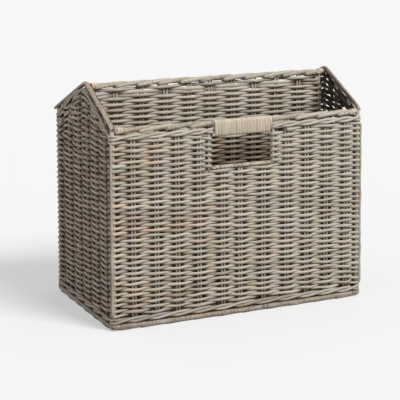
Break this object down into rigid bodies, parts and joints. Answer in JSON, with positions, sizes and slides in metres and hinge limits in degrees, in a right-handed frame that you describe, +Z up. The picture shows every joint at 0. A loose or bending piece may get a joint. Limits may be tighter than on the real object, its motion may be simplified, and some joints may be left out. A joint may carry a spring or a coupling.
{
  "type": "magazine basket",
  "caption": "Woven rattan magazine basket with open compartments on both sides of a tall middle divider, pointed end walls, and a hand hole under a wound grip in each long wall.",
  "frame": {"origin": "middle of the foot, on the surface that the basket stands on", "axes": "+Z up, +X along the length to the right of someone facing the front wall, +Y from the front wall to the back wall"},
  "size_m": [0.43, 0.248, 0.3576],
  "materials": {
    "weaver": "grey-washed rattan, brushed and matt",
    "wale": "grey-washed rattan rods, brushed and matt",
    "border": "grey-washed rattan rods, satin on the worn upper side",
    "stake": "grey-washed rattan rods, matt",
    "peel": "flat rattan peel, pale, with a slight natural sheen"
  },
  "bodies": {
    "root": {"base_weave": "weaver", "front_weave_field": "weaver", "front_weave_flank_left": "weaver", "front_weave_flank_right": "weaver", "back_weave_field": "weaver", "back_weave_flank_left": "weaver", "back_weave_flank_right": "weaver", "left_gable_weave": "weaver", "right_gable_weave": "weaver", "divider_weave": "weaver", "front_lower_wale": "wale", "back_lower_wale": "wale", "left_lower_wale": "wale", "right_lower_wale": "wale", "front_upper_wale_left": "wale", "front_upper_wale_right": "wale", "back_upper_wale_left": "wale", "back_upper_wale_right": "wale", "left_gable_wale": "wale", "right_gable_wale": "wale", "divider_wale": "wale", "front_foot_border": "border", "back_foot_border": "border", "left_foot_border": "border", "right_foot_border": "border", "front_rim": "border", "back_rim": "border", "left_gable_rim": "border", "right_gable_rim": "border", "divider_rail": "border", "corner_post_front_left": "stake", "corner_post_front_right": "stake", "corner_post_back_left": "stake", "corner_post_back_right": "stake", "front_hole_post_left": "stake", "front_hole_post_right": "stake", "back_hole_post_left": "stake", "back_hole_post_right": "stake", "divider_post_left": "stake", "divider_post_right": "stake", "front_hole_sill": "peel", "back_hole_sill": "peel", "front_grip_winding": "peel", "back_grip_winding": "peel", "front_rim_binding_left": "peel", "front_rim_binding_right": "peel", "back_rim_binding_left": "peel", "back_rim_binding_right": "peel", "apex_binding_left": "peel", "apex_binding_right": "peel"}
  },
  "joints": []
}
